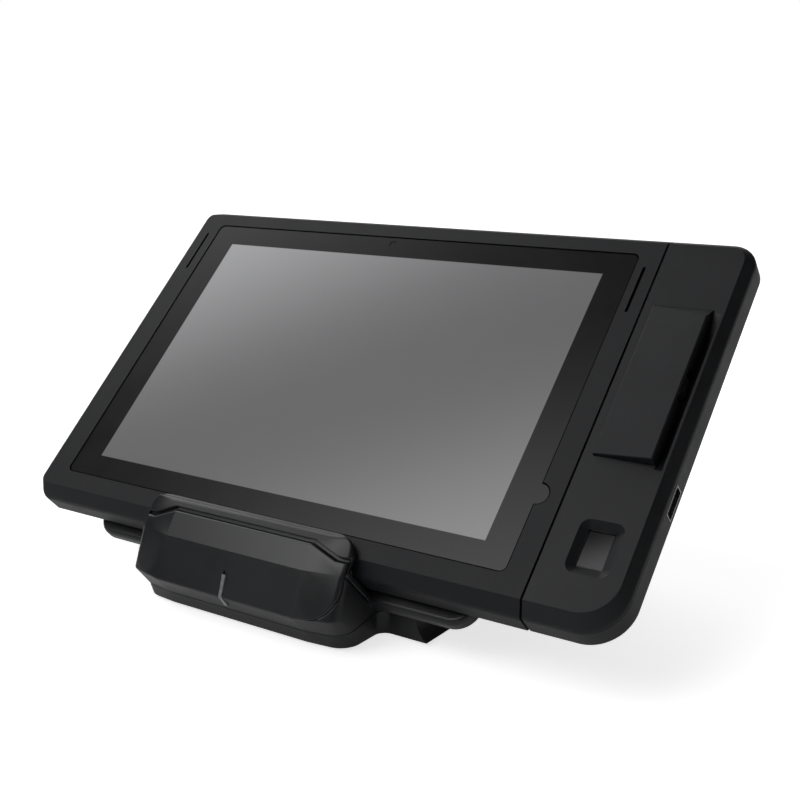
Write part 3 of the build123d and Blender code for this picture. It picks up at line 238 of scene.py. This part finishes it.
def printed_glass():
    """Cover glass: a back-printed border with a grey, switched-off display behind its window, painted to
    glow, with a painted reflection that is lighter at the upper left and lower right.
    """
    t = Finish("cover_glass")
    x, y, z = t.screen_place()
    inside = []
    for across, half in ((x, WINDOW_HALF_WIDTH), (y, WINDOW_HALF_HEIGHT)):
        inside.append(t.span(t.math("ABSOLUTE", across), half - WINDOW_BLUR, half + WINDOW_BLUR, 1.0, 0.0))
    on_face = t.span(z, FACE_FROM, FACE_FULL, 0.0, 1.0)
    window = t.math("MULTIPLY", t.math("MULTIPLY", *inside), on_face)
    rise = t.math("DIVIDE", y, 2 * WINDOW_HALF_HEIGHT)
    slant = t.math("SUBTRACT", rise, t.math("DIVIDE", x, 2 * WINDOW_HALF_WIDTH))
    # painted reflection: a grey gradient, darker in the middle and lighter towards two corners
    painted_reflection_ramp = t.add("ShaderNodeValToRGB", {"Fac": t.span(slant, -1.0, 1.0, 0.0, 1.0)})
    painted_reflection_ramp.color_ramp.interpolation = "B_SPLINE"
    for _ in PAINTED_REFLECTION_GREYS[2:]:
        painted_reflection_ramp.color_ramp.elements.new(0.5)
    for element, (at, level) in zip(painted_reflection_ramp.color_ramp.elements, PAINTED_REFLECTION_GREYS):
        element.position = at
        element.color = (level, level, level * 1.02, 1.0)
    wave = {"Vector": t.place(), "Scale": ROWS_SCALE}
    rows = t.add("ShaderNodeTexWave", wave, bands_direction="X").outputs["Fac"]
    dust = t.noise(55.0, detail=6.0, roughness=0.7)
    painted_glow_panel = t.mix(t.span(rows, 0.0, 1.0, 0.0, ROWS_DARK), painted_reflection_ramp.outputs["Color"], rgba((0.0, 0.0, 0.0)))
    border = t.mix(t.span(dust, 0.35, 0.7, 0.0, 1.0), rgba(BORDER_DARK), rgba(BORDER_PALE))
    t.set(Base_Color=t.mix(window, border, rgba((0.035, 0.036, 0.038))))
    # painted glow: the switched-off display gives off light, carrying the painted reflection and its faint
    # rows
    t.set(Emission_Color=painted_glow_panel, Emission_Strength=t.math("MULTIPLY", window, 0.8))
    t.set(Roughness=t.span(dust, 0.3, 0.75, 0.185, 0.215), Specular_IOR_Level=0.36)
    return t.material


def glossy(name, colour, rough, marks=0.06):
    """Polished plastic or coated glass with faint marks."""
    t = Finish(name)
    haze = t.noise(260.0, detail=5.0, roughness=0.65)
    t.set(Base_Color=t.mix(t.spread(haze, 0.0, 1.0), rgba(colour, 0.85), rgba(colour, 1.15)))
    t.set(Roughness=t.spread(haze, rough, rough + marks), Normal=t.bump(haze, 0.004 * MM))
    return t.material


PAINTED_SHEEN_LEAN = 0.55                           # how much the sensor window's painted reflection follows x beside y
# the window's own dark glass, and the pale end of its painted reflection
SMOKE_DARK, PAINTED_SHEEN_PALE = (0.003, 0.003, 0.0035), (0.12, 0.12, 0.125)


def sensor_glass():
    """Dark polished window of the fingerprint reader, with a painted reflection that makes it lighter at its
    lower end.
    """
    t = Finish("sensor_window")
    x, y, _ = t.screen_place()
    low, high = screen_span("fingerprint_sensor")
    middle = CENTRE.dot(UP)
    along = t.math("SUBTRACT", y, t.math("MULTIPLY", x, PAINTED_SHEEN_LEAN))
    foot = (low.y - middle) - PAINTED_SHEEN_LEAN * high.x
    head = (high.y - middle) - PAINTED_SHEEN_LEAN * low.x
    # painted reflection: pale towards the window's lower end, dark towards its upper end
    painted_sheen = t.span(along, foot, head, 1.0, 0.0, smooth=True)
    haze = t.noise(420.0, detail=5.0)
    t.set(Base_Color=t.mix(painted_sheen, rgba(SMOKE_DARK), rgba(PAINTED_SHEEN_PALE)))
    t.set(Roughness=t.spread(haze, 0.14, 0.24), Normal=t.bump(haze, 0.003 * MM))
    t.set(Specular_IOR_Level=0.06)
    return t.material


def frosted():
    """Clear moulded light guide with a frosted skin."""
    t = Finish("light_guide")
    cloud = t.noise(700.0, detail=4.0)
    shade, milk = rgba((0.16, 0.165, 0.17)), rgba((0.30, 0.305, 0.315))
    t.set(Base_Color=t.mix(t.spread(cloud, 0.0, 1.0), shade, milk))
    t.set(Roughness=t.spread(cloud, 0.25, 0.4), Normal=t.bump(cloud, 0.02 * MM))
    t.set(Subsurface_Weight=0.25, Subsurface_Radius=(1 * MM, 1 * MM, 1 * MM), Coat_Weight=0.3)
    return t.material


DRAWN, CAST = (1.0, 1.0, 30.0), (1.0, 1.0, 1.0)  # how the marks on a metal are squeezed along each axis


def metal(name, colour, rough, brush=DRAWN):
    """Plated or drawn metal, with fine marks along one direction."""
    t = Finish(name)
    stretched = t.add("ShaderNodeMapping", {"Vector": t.place(), "Scale": brush}).outputs["Vector"]
    marks = t.noise(900.0, detail=3.0, vector=stretched)
    stain = t.noise(90.0, detail=5.0)
    t.set(Base_Color=t.mix(t.span(stain, 0.35, 0.7, 0.0, 1.0), rgba(colour, 0.82), rgba(colour, 1.05)))
    t.set(Roughness=t.spread(marks, rough - 0.07, rough + 0.1), Metallic=1.0)
    t.set(Normal=t.bump(marks, 0.006 * MM))
    return t.material


def rubber():
    """Dull black rubber with a dusty bloom."""
    t = Finish("rubber")
    bloom = t.noise(160.0, detail=6.0, roughness=0.7)
    grit = t.noise(2600.0, detail=2.0)
    clean, dusty = rgba((0.014, 0.014, 0.014)), rgba((0.034, 0.034, 0.034))
    t.set(Base_Color=t.mix(t.span(bloom, 0.35, 0.7, 0.0, 1.0), clean, dusty))
    t.set(Roughness=t.spread(bloom, 0.72, 0.9), Normal=t.bump(grit, 0.05 * MM))
    return t.material


def solder_mask():
    """Green board with tracks under the mask and tinned spots."""
    t = Finish("circuit_board")
    tracks = t.add("ShaderNodeTexBrick", {"Vector": t.place(), "Scale": 190.0, "Mortar Size": 0.03})
    spots = t.span(t.cells(260.0, randomness=0.6), 0.1, 0.13, 1.0, 0.0)
    mask = t.mix(tracks.outputs["Fac"], rgba((0.012, 0.075, 0.035)), rgba((0.02, 0.14, 0.07)))
    t.set(Base_Color=t.mix(spots, mask, rgba((0.6, 0.6, 0.58))), Metallic=spots)
    t.set(Roughness=t.span(spots, 0.0, 1.0, 0.35, 0.25), Normal=t.bump(tracks.outputs["Fac"], 0.03 * MM))
    return t.material


def wrapped(name, colour):
    """Pouch foil with soft creases."""
    t = Finish(name)
    crease = t.noise(75.0, detail=5.0, roughness=0.6)
    t.set(Base_Color=t.mix(t.span(crease, 0.35, 0.65, 0.0, 1.0), rgba(colour, 0.8), rgba(colour, 1.2)))
    t.set(Roughness=t.spread(crease, 0.3, 0.42), Normal=t.bump(crease, 0.3 * MM))
    return t.material


BLACK = (0.0108, 0.0116, 0.0134)
DOCK_BLACK = (0.0118, 0.0127, 0.0146)
COVER_BLACK = (0.0125, 0.0135, 0.0155)
BUTTON_BLACK = (0.014, 0.0145, 0.016)
SOCKET_BLACK = (0.01, 0.01, 0.0105)
COVER = {"grain": 0.2 * MM, "depth": 0.007 * MM, "gloss": 0.55, "patchy": 0.015}
READER = {"grain": 0.24 * MM, "depth": 0.016 * MM, "gloss": 0.2}
BUTTON = {"grain": 0.22 * MM, "depth": 0.015 * MM}
SOCKET = {"grain": 0.2 * MM, "depth": 0.012 * MM}
FINISHES = {
    "tablet_housing": moulded("tablet_housing", BLACK, rough=0.45, gloss=0.2),
    "module_housing": moulded("module_housing", BLACK, rough=0.44, gloss=0.24),
    "reader_plastic": moulded("reader_plastic", BLACK, rough=0.38, **READER),
    "dock_housing": moulded("dock_housing", DOCK_BLACK, rough=0.38),
    "dock_cover": moulded("dock_cover", COVER_BLACK, rough=0.33, **COVER),
    "panel_plastic": moulded("panel_plastic", (0.024, 0.0245, 0.026), rough=0.55),
    "cover_glass": printed_glass(),
    "display": glossy("display", (0.12, 0.12, 0.126), rough=0.2),
    "lens": glossy("lens", (0.006, 0.006, 0.011), rough=0.05, marks=0.04),
    "sensor_window": sensor_glass(),
    "light_guide": frosted(),
    "button_plastic": moulded("button_plastic", BUTTON_BLACK, rough=0.38, **BUTTON),
    "rubber": rubber(),
    "circuit_board": solder_mask(),
    "battery_wrap": wrapped("battery_wrap", (0.05, 0.05, 0.055)),
    "speaker_plastic": moulded("speaker_plastic", (0.02, 0.02, 0.021), rough=0.5),
    "socket_plastic": moulded("socket_plastic", SOCKET_BLACK, rough=0.42, **SOCKET),
    "plated_steel": metal("plated_steel", (0.42, 0.415, 0.40), rough=0.26),
    "screw_steel": metal("screw_steel", (0.1, 0.1, 0.105), rough=0.38, brush=CAST),
    "pin_steel": metal("pin_steel", (0.55, 0.56, 0.57), rough=0.24),
    "spring_steel": metal("spring_steel", (0.5, 0.5, 0.5), rough=0.28),
    "contact_gold": metal("contact_gold", (0.85, 0.62, 0.26), rough=0.22),
    "spreader": metal("spreader", (0.72, 0.72, 0.74), rough=0.36),
    "chassis": metal("chassis", (0.58, 0.59, 0.6), rough=0.4),
    "ballast": metal("ballast", (0.3, 0.3, 0.31), rough=0.5, brush=CAST),
    "latch_plastic": moulded("latch_plastic", (0.16, 0.16, 0.17), rough=0.48),
}

for node_name, slot_name in SLOT_OF.items():
    mesh = NODES[node_name].data
    mesh.materials.clear()
    mesh.materials.append(FINISHES[slot_name])


# ---------------------------------------------------------------- casings with rounded edges
SAME_POINT = 0.002 * MM                     # vertices closer than this are one
COPLANAR = math.radians(0.6)                # faces that differ by less are one face
CREASE = math.radians(28)                   # edges that turn by more are rounded
ASTRAY = 1.05                               # rounded vertices this many radii off the CAD shape go back to it
FLAT_FIRST = 90                             # how strongly large faces set the shading
ROUNDINGS = {                               # edge radius in millimetres, and degrees of turn that stay sharp
    "front_cover": (0.4, 13),
    "dock_shell": (0.45, 13),
    "dock_base": (0.4, 13),
    "cradle": (0.8, 30),
    "io_panel": (0.2, 13),
    "light_guide": (0.2, 13),
    "release_button": (0.3, 13),
    "catch_lever": (0.2, 13),
    "dock_plug": (0.15, 13),
}


def bake_modifiers(piece):
    """Puts the result of the piece's modifiers into its mesh."""
    bpy.context.view_layer.update()
    shown = piece.evaluated_get(bpy.context.evaluated_depsgraph_get())
    made = bpy.data.meshes.new_from_object(shown)
    piece.modifiers.clear()
    piece.data = made


def softened(node, radius, sharp):
    """Stands for a CAD casing: the same shape, with edges rounded in the mesh as a mould leaves them."""
    source = NODES[node]
    work = bmesh.new()
    work.from_mesh(source.data)
    bmesh.ops.remove_doubles(work, verts=work.verts, dist=SAME_POINT)
    surface = BVHTree.FromBMesh(work)
    bmesh.ops.dissolve_limit(work, angle_limit=COPLANAR, verts=work.verts, edges=work.edges)
    mesh = bpy.data.meshes.new(node + "_casing")
    work.to_mesh(mesh)
    work.free()
    piece = bpy.data.objects.new(node + "_casing", mesh)
    bpy.context.scene.collection.objects.link(piece)
    rounding = piece.modifiers.new("rounding", "BEVEL")
    rounding.width = radius
    rounding.segments = 2
    rounding.limit_method = "ANGLE"
    rounding.angle_limit = CREASE
    rounding.use_clamp_overlap = False
    bake_modifiers(piece)
    for vertex in piece.data.vertices:
        near, _, _, distance = surface.find_nearest(vertex.co)
        if distance > ASTRAY * radius:
            vertex.co = near
    piece.data.polygons.foreach_set("use_smooth", [True] * len(piece.data.polygons))
    piece.data.set_sharp_from_angle(angle=sharp)
    shading = piece.modifiers.new("shading", "WEIGHTED_NORMAL")
    shading.weight = FLAT_FIRST
    shading.keep_sharp = True
    bake_modifiers(piece)
    piece.data.materials.clear()
    piece.data.materials.append(FINISHES[SLOT_OF[node]])
    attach(piece, source["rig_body"])
    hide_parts(node)


for node_name, (rounding_radius, sharp_turn) in ROUNDINGS.items():
    softened(node_name, rounding_radius * MM, math.radians(sharp_turn))


# ---------------------------------------------------------------- small pieces of the tablet
CLOTH_SIZE = (2.4 * MM, 26.0 * MM, 1.0)     # woven mesh behind a speaker slot
CLOTH_GAPS = (6, 72)
CLOTH_DEPTH, THREAD = 1.2 * MM, 0.1 * MM
RING_RADIUS, RING_THICK, RING_DEPTH = 1.25 * MM, 0.12 * MM, 0.2 * MM
RING_TURNS, RING_SIDES = 36, 8


def screen_piece(name, work, body, slot):
    """Turns a bmesh drawn in the screen's frame into a piece that rides on a body."""
    mesh = bpy.data.meshes.new(name)
    work.to_mesh(mesh)
    work.free()
    mesh.transform(SCREEN)
    piece = bpy.data.objects.new(name, mesh)
    bpy.context.scene.collection.objects.link(piece)
    piece.data.materials.append(FINISHES[slot])
    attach(piece, body)


def speaker_mesh(name, speaker):
    """Woven acoustic mesh just under a speaker slot."""
    x, y = middle_on_screen(speaker)
    across, along = CLOTH_GAPS
    work = bmesh.new()
    bmesh.ops.create_grid(work, x_segments=across, y_segments=along, size=0.5)
    bmesh.ops.scale(work, vec=CLOTH_SIZE, verts=work.verts)
    bmesh.ops.translate(work, vec=(x, y, -CLOTH_DEPTH), verts=work.verts)
    bmesh.ops.wireframe(work, faces=work.faces, thickness=THREAD, use_replace=True, use_even_offset=True)
    screen_piece(name, work, "tablet", "speaker_plastic")


def camera_ring():
    """Polished ring round the front camera's lens, under the glass."""
    x, y = middle_on_screen("front_camera")
    work = bmesh.new()
    rings = []
    for turn in range(RING_TURNS):
        a = 2 * math.pi * turn / RING_TURNS
        ring = []
        for side in range(RING_SIDES):
            b = 2 * math.pi * side / RING_SIDES
            reach = RING_RADIUS + RING_THICK * math.cos(b)
            height = RING_THICK * math.sin(b) - RING_DEPTH
            ring.append(work.verts.new((x + reach * math.cos(a), y + reach * math.sin(a), height)))
        rings.append(ring)
    for ring, following in zip(rings, rings[1:] + rings[:1]):
        for side in range(RING_SIDES):
            after = (side + 1) % RING_SIDES
            work.faces.new((ring[side], following[side], following[after], ring[after])).smooth = True
    screen_piece("camera_ring", work, "tablet", "lens")


speaker_mesh("speaker_mesh_left", "speaker_left")
speaker_mesh("speaker_mesh_right", "speaker_right")
camera_ring()


# ---------------------------------------------------------------- floor, studio light and camera
FLOOR_SIZE = 16.0
FLOOR_SEEN = 0.74                           # the floor's own light, as seen
FLOOR_GLOW, FLOOR_DIM = 0.16, 0.02          # and as cast on the object, from near and from far in front
DIM_BEYOND, FULL_WITHIN = -0.55, -0.12      # y of the dim and of the full part
HORIZON, OVERHEAD = 0.03, 0.10              # the surround's level, low down and above
LOW_UNTIL, HIGH_FROM = 0.25, 0.85           # sine of the elevation where each begins
SOFT_LIGHTS = (                             # direction, inner and outer angle in degrees, level
    ((-0.36, -0.58, 0.73), 4, 28, 3.2),
    ((-0.72, 0.30, 0.62), 5, 30, 2.0),
    ((-0.37, 0.76, 0.54), 5, 26, 0.8),
)
CAMERA_AT = (0.3408, -0.4401, 0.2170)
CAMERA_VIEW = (-0.54202, 0.81133, -0.21899)  # 12.65 degrees down
CAMERA_LENS, CAMERA_SENSOR = 55.305, 36.0
CAMERA_SHIFT = (-0.0292, -0.0194)


def studio_floor():
    """Pale table that glows softly, as a lit sweep does; it lights the object less from far in front."""
    bpy.ops.mesh.primitive_plane_add(size=FLOOR_SIZE, location=(0.0, 0.0, 0.0))
    floor = bpy.context.object
    floor.name = "studio_floor"
    t = Finish("studio_floor")
    axes = t.add("ShaderNodeSeparateXYZ", {0: t.place()})
    glow = t.span(axes.outputs["Y"], DIM_BEYOND, FULL_WITHIN, FLOOR_DIM, FLOOR_GLOW, smooth=True)
    t.set(Base_Color=(0.88, 0.88, 0.88, 1.0), Roughness=0.9, Specular_IOR_Level=0.1)
    t.set(Emission_Color=WHITE, Emission_Strength=t.by_viewer(glow, FLOOR_SEEN))
    floor.data.materials.append(t.material)


def studio_light():
    """A pale surround, brighter overhead than near the horizon, with three large soft lights."""
    world = bpy.data.worlds.new("studio")
    bpy.context.scene.world = world
    t = Tree(world)
    direction = t.add("ShaderNodeTexCoord").outputs["Generated"]
    axes = t.add("ShaderNodeSeparateXYZ", {0: direction})
    light = t.span(axes.outputs["Z"], LOW_UNTIL, HIGH_FROM, HORIZON, OVERHEAD, smooth=True)
    for aim, inner, outer, level in SOFT_LIGHTS:
        near = t.dot(direction, Vector(aim).normalized())
        fade_from, fade_to = math.cos(math.radians(outer)), math.cos(math.radians(inner))
        light = t.math("ADD", light, t.span(near, fade_from, fade_to, 0.0, level, smooth=True))
    t.feed(t.nodes["Background"], {"Color": WHITE, "Strength": t.by_viewer(light, 1.0)})


def studio_camera():
    """Camera in front of the object and to its right, looking down at it."""
    data = bpy.data.cameras.new("studio_camera")
    data.sensor_width = CAMERA_SENSOR
    data.lens = CAMERA_LENS
    data.shift_x, data.shift_y = CAMERA_SHIFT
    data.clip_start, data.clip_end = 0.01, 50.0
    camera = bpy.data.objects.new("studio_camera", data)
    bpy.context.scene.collection.objects.link(camera)
    camera.location = CAMERA_AT
    camera.rotation_mode = "QUATERNION"
    camera.rotation_quaternion = Vector(CAMERA_VIEW).to_track_quat("-Z", "Y")
    bpy.context.scene.camera = camera


studio_floor()
studio_light()
studio_camera()
bpy.context.scene.view_settings.view_transform = "Standard"
